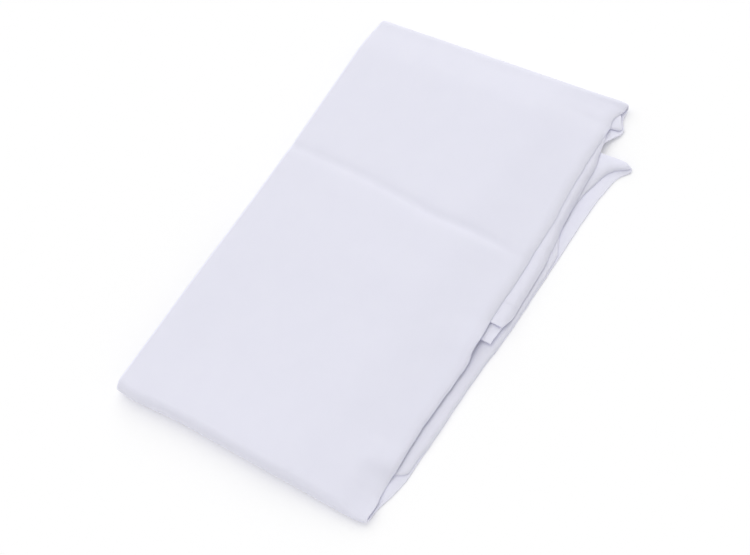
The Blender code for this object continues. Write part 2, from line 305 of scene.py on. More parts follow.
@dataclass
class Stack:
    """The neat stack: its sizes, and where the sheet's middle line runs in it."""

    sheet: float = 1.5 * MM
    pitch: float = 2.6 * MM             # from one layer's middle to the next one's
    folded_length: float = 324.5 * MM
    half_width: float = 200.0 * MM
    bottom_end: float = 285.5 * MM
    inner_end_outer: float = 134.0 * MM
    inner_end_inside: float = 146.5 * MM
    centre_across: float = 107.165 * MM     # the part's origin, from the left fold
    centre_along: float = 162.266 * MM      # and from the near fold

    @property
    def bottom_height(self) -> float:
        """Height of the middle of the bottom panel's two layers."""
        return self.sheet / 2 + self.pitch / 2

    @property
    def inner_height(self) -> float:
        """Height of the middle of the inner panel's two layers."""
        return self.bottom_height + 2 * self.pitch

    @property
    def top_height(self) -> float:
        """Height of the middle of the top panel's two layers."""
        return self.inner_height + 2 * self.pitch

    @property
    def near_radius(self) -> float:
        """Radius of the near fold's middle line."""
        return (self.top_height - self.bottom_height) / 2

    @property
    def far_radius(self) -> float:
        """Radius of the far fold's middle line."""
        return (self.top_height - self.inner_height) / 2

    @property
    def shell(self) -> float:
        """From a panel's middle to its outer face."""
        return self.pitch / 2 + self.sheet / 2

    @property
    def near_turn(self) -> float:
        """Where the panels start to turn into the near fold."""
        return self.near_radius + self.shell

    @property
    def far_turn(self) -> float:
        """Where the panels start to turn into the far fold."""
        return self.folded_length - self.far_radius - self.shell

    @property
    def top_start(self) -> float:
        """Travel at which the far fold ends and the top panel starts."""
        return math.pi * self.far_radius

    @property
    def top_stop(self) -> float:
        """Travel at which the top panel ends and the near fold starts."""
        return self.top_start + self.far_turn - self.near_turn

    @property
    def bottom_start(self) -> float:
        """Travel at which the near fold ends and the bottom panel starts."""
        return self.top_stop + math.pi * self.near_radius

    def travel(self, panel: Panel, along: float) -> float:
        """Length along the sheet, from the start of the far fold, of a place in a panel.

        Args:
            panel: The panel that the place is in.
            along: Its distance from the near fold, in metres.

        Returns:
            Its travel, in metres.
        """
        if panel is Panel.INNER:
            return along - self.far_turn
        if panel is Panel.TOP:
            return self.top_start + self.far_turn - along
        return self.bottom_start + along - self.near_turn

    def spine(self, at: np.ndarray) -> tuple[np.ndarray, np.ndarray, np.ndarray, np.ndarray]:
        """The sheet's middle line, seen from the side.

        Args:
            at: Travels, in metres.

        Returns:
            Distance from the near fold, height, and the two parts of the outward direction.
        """
        far = at / self.far_radius - math.pi / 2
        near = (at - self.top_stop) / self.near_radius + math.pi / 2
        stretches = [at < 0, at < self.top_start, at < self.top_stop, at < self.bottom_start]
        y = np.select(stretches, [
            self.far_turn + at,
            self.far_turn + self.far_radius * np.cos(far),
            self.far_turn - (at - self.top_start),
            self.near_turn + self.near_radius * np.cos(near),
        ], self.near_turn + at - self.bottom_start)
        z = np.select(stretches, [
            self.inner_height,
            self.inner_height + self.far_radius * (1 + np.sin(far)),
            self.top_height,
            self.bottom_height + self.near_radius * (1 + np.sin(near)),
        ], self.bottom_height)
        out_y = np.select(stretches, [0.0, np.cos(far), 0.0, np.cos(near)], 0.0)
        out_z = np.select(stretches, [-1.0, np.sin(far), 1.0, np.sin(near)], -1.0)
        return y, z, out_y, out_z


@dataclass
class OpenEdge:
    """One layer's open edge, all along the sheet."""

    SCALES: ClassVar[dict[str, float]] = {"turn": math.radians(1.0), "body": 1.0}

    stack: Stack
    points: tuple[EdgePoint, ...]

    def read(self, column: str, at: np.ndarray) -> np.ndarray:
        """Read one column of the edge's table.

        Args:
            column: The column's name.
            at: Travels, in metres.

        Returns:
            Its values there, in metres (radians for "turn", shares for "body").
        """
        places = [self.stack.travel(point.panel, point.along * MM) for point in self.points]
        scale = self.SCALES.get(column, MM)
        values = [getattr(point, column) * scale for point in self.points]
        return along_curve(places, values, at)


def edge_in(panel: Panel, *rows: tuple[float, ...]) -> tuple[EdgePoint, ...]:
    """An edge's points in one panel, each from a row of its numbers."""
    return tuple(EdgePoint(panel, *row) for row in rows)


# The outer layer: upper one of the top panel, lower one of the inner and bottom panels.
# Each row's numbers are along, reach, lift and body, then curl and turn where it curls.
OUTER_EDGE = (
    *edge_in(
        Panel.INNER,
        (134, 203.0, -0.9, 0.7),
        (150, 203.6, -1.4, 0.5),
        (200, 203.0, -1.4, 0.5),
        (235, 197.0, -1.3, 0.5),
        (252, 195.6, -0.9, 0.5),
        (270, 195.0, -0.7, 0.5),
        (286, 195.8, -0.8, 0.5),
        (292, 196.6, -1.3, 0.5),
        (296, 197.9, -2.1, 0.5),
        (300, 199.8, -2.3, 0.6),
        (304, 202.1, -2.4, 0.6),
        (307.3, 202.6, -2.1, 0.6),
        (310.5, 200.6, -1.5, 0.6),
        (314, 198.4, -0.7, 0.6),
        (317, 197.8, 0.2, 0.6),
        (324, 197.4, -0.2, 0.6, 0.3, 30),
    ),
    *edge_in(
        Panel.TOP,
        (319.5, 196.8, -4.2, 0.4, 1.1, 35),
        (316.7, 196.2, -4.4, 0.35, 1.0, 35),
        (314.2, 195.2, -4.6, 0.3, 0.8, 30),
        (309, 194.0, -4.9, 0.3, 0.5, 30),
        (302.5, 194.9, -6.1, 0.25, 0.8, 30),
        (296, 195.1, -6.0, 0.25, 0.9, 30),
        (289, 195.3, -5.7, 0.25, 0.7, 30),
        (275, 195.4, -5.12, 0.25, 0.25, 20),
        (262, 195.5, -5.23, 0.25, 0.2, 20),
        (246, 195.9, -5.63, 0.25, 0.2, 20),
        (220, 197.3, -5.88, 0.25, 0.2, 20),
        (204, 197.1, -5.83, 0.25, 0.2, 20),
        (194, 197.1, -5.33, 0.25, 0.2, 20),
        (184, 197.3, -5.83, 0.25, 0.2, 20),
        (149, 196.2, -5.58, 0.25, 0.2, 20),
        (143, 196.4, -5.7, 0.3, 0.5, 30),
        (134, 196.6, -5.5, 0.3, 0.5, 35),
        (125, 196.6, -5.6, 0.3, 0.6, 30),
        (116, 197.8, -7.0, 0.3, 0.9, 30),
        (105, 197.0, -7.5, 0.3, 0.9, 30),
        (90, 195.8, -7.6, 0.3, 0.9, 30),
        (77, 195.1, -7.6, 0.3, 0.9, 30),
        (66, 194.4, -7.5, 0.3, 1.0, 30),
        (59, 194.3, -7.4, 0.3, 1.1, 35),
        (52, 194.2, -7.1, 0.3, 1.3, 40),
        (44, 194.4, -5.2, 0.35, 2.0, 45),
        (38, 194.4, -3.4, 0.4, 2.0, 45),
        (32, 193.8, -1.7, 0.4, 1.2, 45),
        (26, 193.4, -0.9, 0.4, 1.0, 40),
        (20, 193.6, -0.4, 0.5, 1.0, 40),
        (12, 194.6, -0.2, 0.6, 1.2, 40),
    ),
    *edge_in(
        Panel.BOTTOM,
        (8, 195.3, 0.0, 0.6),
        (20, 198.6, 0.0, 0.6),
        (34, 201.2, 0.0, 0.6),
        (60, 202.4, 0.0, 0.6),
        (118, 205.0, 0.0, 0.6),
        (140, 207.5, 0.0, 0.6),
        (203, 209.9, 0.0, 0.6),
        (247, 211.4, 0.0, 0.8),
        (264, 213.6, 0.0, 0.8),
        (274, 216.0, 0.1, 0.8),
        (278, 219.2, 0.3, 0.4),
        (281, 221.4, 0.4, 0.4),
        (283.5, 220.8, 0.4, 0.4),
        (285.5, 217.4, 0.4, 0.4),
    ),
)

# The other layer, which lies inside every fold
INSIDE_EDGE = (
    *edge_in(
        Panel.INNER,
        (146.5, 204.6, -2.2, 0.4, 0.6, 40),
        (156, 206.4, -2.4, 0.4, 2.4, 45),
        (192, 206.1, -2.4, 0.4, 2.5, 45),
        (213, 204.4, -2.4, 0.35, 3.2, 50),
        (226, 202.3, -2.4, 0.3, 3.4, 50),
        (247, 201.2, -2.2, 0.3, 3.0, 48),
        (272, 201.0, -1.75, 0.3, 2.1, 45),
        (283, 198.4, -1.8, 0.3, 1.6, 40),
        (293, 196.4, -2.3, 0.4, 1.1, 35),
        (302.6, 194.0, -2.55, 0.5, 1.2, 40),
        (304.8, 195.4, -2.55, 0.5, 1.2, 40),
        (306.8, 199.0, -2.6, 0.5, 1.2, 40),
        (308.8, 201.2, -2.4, 0.5, 1.2, 40),
        (310.8, 201.2, -2.1, 0.5, 1.3, 40),
        (313, 199.9, -1.6, 0.6, 1.1, 40),
        (316, 198.1, -1.0, 0.6, 0.7, 35),
        (319.8, 195.1, -0.85, 0.6, 0.2, 30),
    ),
    *edge_in(
        Panel.TOP,
        (318, 162.0, -0.8, 0.7),
        (312, 160.0, -0.9, 0.6),
        (302, 158.0, -0.9, 0.5),
        (290, 160.0, -0.9, 0.5),
        (270, 164.0, -0.9, 0.5),
        (215, 164.0, -0.9, 0.5),
        (195, 164.0, -0.4, 0.5),
        (178, 164.0, -0.9, 0.5),
        (150, 164.0, -0.9, 0.5),
        (128, 163.0, -1.9, 0.5),
        (60, 161.0, -2.2, 0.5),
        (30, 158.0, -1.6, 0.7),
        (12, 152.0, -0.3, 1.0),
    ),
    *edge_in(
        Panel.BOTTOM,
        (12, 162.0, 0.0, 1.0),
        (26, 182.0, -0.8, 0.6, 0.4, 30),
        (33, 189.5, -0.8, 0.4, 0.5, 35),
        (36, 196.4, -0.9, 0.4, 0.7, 35),
        (39, 200.55, -1.0, 0.5, 1.0, 40),
        (44, 201.05, -1.0, 0.5, 1.0, 40),
        (51, 201.35, -1.0, 0.5, 1.0, 40),
        (60, 202.35, -1.0, 0.5, 1.0, 40),
        (118, 204.95, -1.0, 0.5, 1.0, 40),
        (140, 207.35, -1.0, 0.5, 1.0, 40),
        (180, 208.75, -1.0, 0.5, 1.0, 40),
        (205, 209.15, -1.0, 0.5, 0.92, 40),
        (214, 206.0, -0.8, 0.4, 0.74, 40),
        (222, 202.8, -0.6, 0.3, 0.79, 40),
        (234, 200.8, -0.5, 0.3, 0.89, 40),
        (247, 201.7, -0.4, 0.3, 0.99, 40),
        (260, 204.5, -0.4, 0.3, 0.99, 40),
        (268, 206.9, -0.2, 0.4, 1.16, 40),
        (273, 208.85, 0.18, 0.4, 1.55, 45),
        (278, 213.21, 0.19, 0.4, 1.6, 45),
        (280.5, 217.81, 0.44, 0.4, 1.8, 50),
        (282.5, 220.41, 0.44, 0.4, 1.6, 50),
        (284, 219.71, 0.34, 0.4, 1.5, 50),
        (285.5, 216.61, 0.34, 0.4, 1.5, 50),
    ),
)

# The near right corner, by distance from the near fold: the share of the outer layer's
# height that is pressed out of it at its rim
CORNER_SQUEEZE = (
    Shift(0, 0.34),
    Shift(8, 0.60),
    Shift(15, 0.76),
    Shift(22, 0.80),
    Shift(28, 0.80),
    Shift(33, 0.62),
    Shift(38, 0.34),
    Shift(44, 0.12),
    Shift(52, 0.0),
)

# The left fold's line, by distance from the near fold: it bows in at its middle
LEFT_LINE = (
    Shift(0, -0.8),
    Shift(40, -0.4),
    Shift(96, 0.3),
    Shift(148, 1.5),
    Shift(197, 1.9),
    Shift(247, 1.1),
    Shift(287, 0.1),
    Shift(325, -0.8),
)

# The near fold's line, by distance from the left fold: it comes forward at the left corner
NEAR_LINE = (
    Shift(-3, -2.2),
    Shift(11, -3.3),
    Shift(25, -2.4),
    Shift(39, -1.4),
    Shift(60, -0.7),
    Shift(110, -0.6),
    Shift(150, -0.1),
    Shift(180, 0.3),
    Shift(190, 0.9),
    Shift(195, 2.2),
    Shift(200, 5.0),
)

# The far fold's line, by distance from the left fold: it is drawn in at the right corner
FAR_LINE = (
    Shift(0, 3.7),
    Shift(30, 3.5),
    Shift(100, 2.5),
    Shift(160, 1.8),
    Shift(182, 1.9),
    Shift(190, 2.0),
    Shift(195, 2.0),
    Shift(200, 0.6),
)

# The cross crease is a slack trough over the top panel
CROSS_CREASE = (
    CreasePoint(0, 204.5, 0.7),
    CreasePoint(52, 203.2, 1.1),
    CreasePoint(101, 199.0, 1.1),
    CreasePoint(126, 196.4, 1.3),
    CreasePoint(160, 196.2, 1.5),
    CreasePoint(203, 193.0, 1.7),
)


def read_rows(rows: Sequence, key: str, column: str, at: np.ndarray,
              scale: float = MM) -> np.ndarray:
    """Read one column of a table by another.

    Args:
        rows: The table.
        key: Name of the column to look places up in.
        column: Name of the column to read.
        at: The places, in metres.
        scale: What one of the column's units is worth.

    Returns:
        The values there, in metres unless the scale says something else.
    """
    places = [getattr(row, key) * MM for row in rows]
    values = [getattr(row, column) * scale for row in rows]
    return along_curve(places, values, at)


@dataclass
class Lie:
    """The uneven lie of the real cloth, put on the neat stack."""

    stack: Stack
    left_band: float = 90 * MM
    near_band: float = 40 * MM
    far_band: float = 60 * MM
    crease_half_width: float = 4.2 * MM
    far_droop: float = 4.8 * MM         # the far fold sinks past the bottom panel's end
    droop_margin: float = 5 * MM
    hollow_sag: float = 1.4 * MM        # the top sinks over the hollow in the near half
    hollow_margin: float = 20 * MM
    hollow_ease: float = 55 * MM
    corner_pinch: float = 7.0 * MM      # the hollow is pressed shut at the near right corner
    pinched_height: float = 11.7 * MM
    pinch_across: float = 85 * MM
    pinch_along: float = 76 * MM
    corner_flare: float = 4.0 * MM      # the underside spreads at the near left corner
    flare_across: float = 45 * MM
    flare_along: float = 30 * MM
    fold_lift: float = 0.3 * MM         # the underside is just off the floor by the folds
    fold_lift_band: float = 25 * MM
    floor_press: float = 0.06 * MM      # cloth this near the floor lies flat on it

    def across(self, x: np.ndarray, y: np.ndarray, z: np.ndarray) -> np.ndarray:
        """How far each point moves in X.

        Args:
            x: Distances from the left fold.
            y: Distances from the near fold.
            z: Heights.

        Returns:
            Moves, to the right where they are positive.
        """
        left = read_rows(LEFT_LINE, "place", "by", y) * smooth(1 - x / self.left_band)
        low = smooth(1 - (z - self.stack.bottom_height) / (2 * self.stack.near_radius))
        corner = smooth(1 - x / self.flare_across) * smooth(1 - y / self.flare_along)
        return left - self.corner_flare * low * corner

    def along(self, x: np.ndarray, y: np.ndarray) -> np.ndarray:
        """How far each point moves in Y.

        Args:
            x: Distances from the left fold.
            y: Distances from the near fold.

        Returns:
            Moves, away from the near fold where they are positive.
        """
        by_near = smooth(1 - (y - self.stack.near_turn) / self.near_band)
        by_far = smooth(1 + (y - self.stack.far_turn) / self.far_band)
        near = read_rows(NEAR_LINE, "place", "by", x) * by_near
        far = read_rows(FAR_LINE, "place", "by", x) * by_far
        return near + far

    def lightness(self, z: np.ndarray) -> np.ndarray:
        """Share of a sag that a height takes: most on top, none in the bottom panel."""
        floor = self.stack.bottom_height + self.stack.shell
        return np.clip((z - floor) / (self.stack.top_height - floor), 0, 2)

    def crease(self, x: np.ndarray, y: np.ndarray) -> np.ndarray:
        """How deep the cross crease is.

        Args:
            x: Distances from the left fold.
            y: Distances from the near fold.

        Returns:
            Its depth at each place.
        """
        line = read_rows(CROSS_CREASE, "across", "along", x)
        depth = read_rows(CROSS_CREASE, "across", "depth", x)
        return depth * bell((y - line) / self.crease_half_width)

    def sag(self, x: np.ndarray, y: np.ndarray) -> np.ndarray:
        """How far the top panel sinks over the hollow in the near half.

        Args:
            x: Distances from the left fold.
            y: Distances from the near fold.

        Returns:
            Amounts to sink by.
        """
        stop = self.stack.inner_end_outer + self.hollow_margin
        lengthwise = between(y, 0, stop, self.hollow_ease)
        crosswise = between(x, 0, self.stack.half_width, self.hollow_ease)
        return self.hollow_sag * lengthwise * crosswise

    def pinch(self, x: np.ndarray, y: np.ndarray, z: np.ndarray) -> np.ndarray:
        """How far each point is pressed down at the near right corner.

        Args:
            x: Distances from the left fold.
            y: Distances from the near fold.
            z: Heights.

        Returns:
            Amounts to sink by.
        """
        by_corner = smooth(1 - (self.stack.half_width - x) / self.pinch_across)
        by_corner = by_corner * smooth(1 - y / self.pinch_along)
        height = np.clip((z - self.stack.bottom_height) / self.pinched_height, 0, 1)
        return self.corner_pinch * by_corner * height

    def down(self, x: np.ndarray, y: np.ndarray, z: np.ndarray) -> np.ndarray:
        """How far each point sinks.

        Args:
            x: Distances from the left fold.
            y: Distances from the near fold.
            z: Heights.

        Returns:
            Amounts to sink by, less what the folds lift.
        """
        stack = self.stack
        start = stack.bottom_end + self.droop_margin
        droop = self.far_droop * smooth((y - start) / (stack.folded_length - start))
        sunk = (self.crease(x, y) + self.sag(x, y)) * self.lightness(z)
        by_left_fold = smooth(1 - x / self.fold_lift_band)
        by_near_fold = smooth(1 - (y - stack.near_turn) / self.fold_lift_band)
        lift = self.fold_lift * np.maximum(by_left_fold, by_near_fold)
        return droop + sunk + self.pinch(x, y, z) - lift

    def settle(self, points: np.ndarray) -> np.ndarray:
        """Give points of the neat stack their real place.

        Args:
            points: Places in the neat stack, the last axis being X, Y and Z.

        Returns:
            Their places in the real one.
        """
        x, y, z = points[..., 0], points[..., 1], points[..., 2]
        moved = (x + self.across(x, y, z), y + self.along(x, y), z - self.down(x, y, z))
        return np.stack(moved, axis=-1)


# Soft marks that handling and the folds have left in the top panel
TOP_FOLDS = (
    SoftFold(155, 187, 171, 94, 0.16, 3.0),
    SoftFold(160, 187, 177, 94, -0.14, 3.0),
    SoftFold(25, 46, 80, 54, 0.12, 3.5),
    SoftFold(70, 59, 153, 50, 0.14, 3.5),
    SoftFold(30, 60, 110, 66, -0.10, 4.0),
    SoftFold(0, 191, 203, 179, -0.16, 6.0),
)
TOP_DIMPLES = (
    Dimple(65, 241, 0.22, 6.0),
    Dimple(68, 234, 0.18, 5.0),
    Dimple(165, 216, 0.25, 5.0),
)
NEAR_PUCKERS = (
    Pucker(60, 110, 55, 10, 0.30, 9),
    Pucker(120, 170, 70, -12, 0.35, 8),
    Pucker(10, 40, 60, 20, 0.35, 9),
)


@dataclass(frozen=True)
class Wave:
    """One slow wave over the cloth, in radians, which may snake from side to side."""

    height: float                   # as a share of the cloth's wave height
    across: float                   # for each metre in X
    along: float                    # and in Y
    start: float = 0.0
    snake: float = 0.0              # how far it snakes
    snake_across: float = 0.0
    snake_along: float = 0.0
    snake_start: float = 0.0

    def at(self, x: np.ndarray, y: np.ndarray) -> np.ndarray:
        """Work out the wave's height.

        Args:
            x: Distances from the left fold.
            y: Distances from the near fold.

        Returns:
            Its height at each place.
        """
        aside = np.sin(self.snake_across * x + self.snake_along * y + self.snake_start)
        turn = self.across * x + self.along * y + self.start + self.snake * aside
        return self.height * np.sin(turn)


@dataclass(frozen=True)
class EdgeWave:
    """One wave of an open edge, in radians, which swells and fades with a second one."""

    height: float                   # as a share of the edge's wander
    rate: float                     # for each metre along the edge
    starts: int                     # how many times the edge's own start it starts at
    swell_rate: float
    swell_starts: int

    def at(self, travel: np.ndarray, start: np.ndarray) -> np.ndarray:
        """Work out the wave's height.

        Args:
            travel: Places along the edge.
            start: The edge's own start, for each of them.

        Returns:
            Its height at each place.
        """
        wave = np.sin(travel * self.rate + self.starts * start)
        swell = np.sin(travel * self.swell_rate + self.swell_starts * start)
        return self.height * wave * swell


WAVES = (
    Wave(0.5, 61, 0, snake=2.1, snake_along=23, snake_start=1.3),
    Wave(0.6, 0, 47, snake=1.7, snake_across=31, snake_start=2.6),
    Wave(0.125, 158, -56, start=math.pi / 2),
    Wave(0.125, 76, 222, start=-math.pi / 2),
)
EDGE_WAVES = (
    EdgeWave(0.7, 241, 1, 97, 2),
    EdgeWave(0.4, 683, 3, 157, 1),
)


@dataclass
class FineFolds:
    """The small folds, puckers and waves that the cloth has on top of its main shape."""

    stack: Stack
    wave_height: float = 0.10 * MM
    edge_wander: float = 0.25 * MM
    edge_start: float = 1.3
    top_ease: float = 8 * MM        # the top's marks fade out this near to the folds
    fold_ease: float = 1 / 4        # the share of its length over which a soft fold fades out
    pucker_ease: float = 1 / 3
    near_from: float = -15.0        # the near fold's face, in degrees round it
    near_to: float = 175.0
    near_ease: float = 25.0

    def top_relief(self, x: np.ndarray, y: np.ndarray) -> np.ndarray:
        """How far the small folds and dimples sink the top panel.

        Args:
            x: Distances from the left fold.
            y: Distances from the near fold.

        Returns:
            Depths at each place.
        """
        sunk = np.zeros_like(x)
        for fold in TOP_FOLDS:
            start = np.array((fold.from_across, fold.from_along)) * MM
            run = np.array((fold.to_across, fold.to_along)) * MM - start
            length = float(np.hypot(*run))
            share = ((x - start[0]) * run[0] + (y - start[1]) * run[1]) / length ** 2
            aside = ((x - start[0]) * run[1] - (y - start[1]) * run[0]) / length
            fade = between(share, 0, 1, self.fold_ease)
            sunk = sunk + fold.depth * MM * fade * bell(aside / (fold.half_width * MM))
        for dimple in TOP_DIMPLES:
            away = np.hypot(x - dimple.across * MM, y - dimple.along * MM)
            sunk = sunk + dimple.depth * MM * bell(away / (dimple.radius * MM))
        return sunk

    def waves(self, x: np.ndarray, y: np.ndarray) -> np.ndarray:
        """Broad, faint unevenness all over the cloth."""
        return self.wave_height * sum(wave.at(x, y) for wave in WAVES)

    def near_relief(self, x: np.ndarray, turn: np.ndarray) -> np.ndarray:
        """How far the puckers draw in the near fold's face.

        Args:
            x: Distances from the left fold, in metres.
            turn: Turn round the fold, in degrees down from the top panel.

        Returns:
            Depths, in metres.
        """
        drawn = np.zeros_like(x)
        for pucker in NEAR_PUCKERS:
            share = (x / MM - pucker.from_across) / (pucker.to_across - pucker.from_across)
            line = pucker.turn + pucker.slant * share
            fade = between(share, 0, 1, self.pucker_ease)
            drawn = drawn + pucker.depth * MM * fade * bell((turn - line) / pucker.half_width)
        return drawn

    def relief(self, x: np.ndarray, at: np.ndarray) -> np.ndarray:
        """How far the cloth's middle moves against its outward direction.

        Args:
            x: Distances from the left fold, in metres.
            at: Travels, in metres.

        Returns:
            Depths, in metres.
        """
        stack = self.stack
        y = stack.spine(at)[0]
        on_top = between(at, stack.top_start, stack.top_stop, self.top_ease)
        turn = np.degrees((at - stack.top_stop) / stack.near_radius)
        on_near = between(turn, self.near_from, self.near_to, self.near_ease)
        top = on_top * (self.top_relief(x, y) + self.waves(x, y))
        return top + on_near * self.near_relief(x, turn)

    def wander(self, at: np.ndarray, side: Side) -> np.ndarray:
        """How far an open edge wanders in and out between the places in its table."""
        start = self.edge_start + side.value * (at < self.stack.top_stop)
        return self.edge_wander * sum(wave.at(at, start) for wave in EDGE_WAVES)


class Roll:
    """How the last stretch of one layer turns down, row by row."""

    BEND = 0.6              # share of the stretch over which it bends; the rest is straight
    STEPS = 40
    LEAST_FALL = 1e-6       # what a flat row, which doesn't fall, is divided by instead
    LEAST_LENGTH = 1e-9     # and what a stretch of no length is

    def __init__(self, curl: np.ndarray, turn: np.ndarray) -> None:
        """Work out the rows' profiles.

        Args:
            curl: How far each row's rim ends below the flat layer.
            turn: How steeply it points down there, in radians.
        """
        share = np.linspace(0.0, 1.0, self.STEPS + 1)
        self.heading = turn[:, None] * smooth(share / self.BEND)[None, :]
        out = self.run_along(np.cos(self.heading))
        down = self.run_along(np.sin(self.heading))
        self.length = curl / np.maximum(down[:, -1], self.LEAST_FALL)
        self.out = out * self.length[:, None]
        self.down = down * self.length[:, None]
        self.outermost = self.out.max(axis=1)

    @property
    def slack(self) -> np.ndarray:
        """How much further in the flat part reaches for having the stretch turned down."""
        return self.length - self.outermost

    @classmethod
    def run_along(cls, slope: np.ndarray) -> np.ndarray:
        """Add up slopes along each row's stretch, taken as 1 long."""
        middle = (slope[:, 1:] + slope[:, :-1]) / (2 * cls.STEPS)
        return np.concatenate((np.zeros((len(slope), 1)), np.cumsum(middle, axis=1)), axis=1)

    def at(self, inset: np.ndarray) -> tuple[np.ndarray, np.ndarray, np.ndarray]:
        """Where cloth lies that is `inset` in from the rim.

        Args:
            inset: One length of cloth for each row.

        Returns:
            Distance in from the row's outermost place, how far down, and how steep.
        """
        place = 1 - inset / np.maximum(self.length, self.LEAST_LENGTH)
        place = np.clip(place, 0, 1) * self.STEPS
        index = np.minimum(place.astype(int), self.STEPS - 1)
        share = place - index
        rows = np.arange(len(index))
        out, down, heading = (
            table[rows, index] * (1 - share) + table[rows, index + 1] * share
            for table in (self.out, self.down, self.heading)
        )
        back = self.outermost - out + np.maximum(inset - self.length, 0)
        return back, down, heading


@dataclass(frozen=True)
class Fineness:
    """How finely the cloth's mesh is cut."""

    rim_steps: int = 4
    left_fold_steps: int = 10
    far_fold_steps: int = 12
    near_fold_steps: int = 22
    open_band: float = 54 * MM              # the columns by the open edge
    outer_open: Steps = Steps(0.9 * MM, 2.7 * MM)
    inside_open: Steps = Steps(1.0 * MM, 6.0 * MM)
    outer_column: float = 2.7 * MM          # the columns over the rest of the width
    inside_column: float = 12.0 * MM
    left_gap: float = 0.3 * MM              # from the last of them to the left fold
    tip_band: float = 30 * MM               # the rows by the tucked-in end
    tip: Steps = Steps(0.9 * MM, 3.0 * MM)
    inner: Steps = Steps(5.5 * MM, 3.5 * MM)
    ear_band: float = 32 * MM               # the rows before the far fold, with the upper ear
    ear: Steps = Steps(1.8 * MM, 1.0 * MM)
    top: Steps = Steps(1.6 * MM, 1.6 * MM)
    bottom: Steps = Steps(1.6 * MM, 6.5 * MM)
    end_band: float = 40 * MM               # the rows by the bottom panel's end, with its ear
    end: Steps = Steps(3.0 * MM, 0.9 * MM)


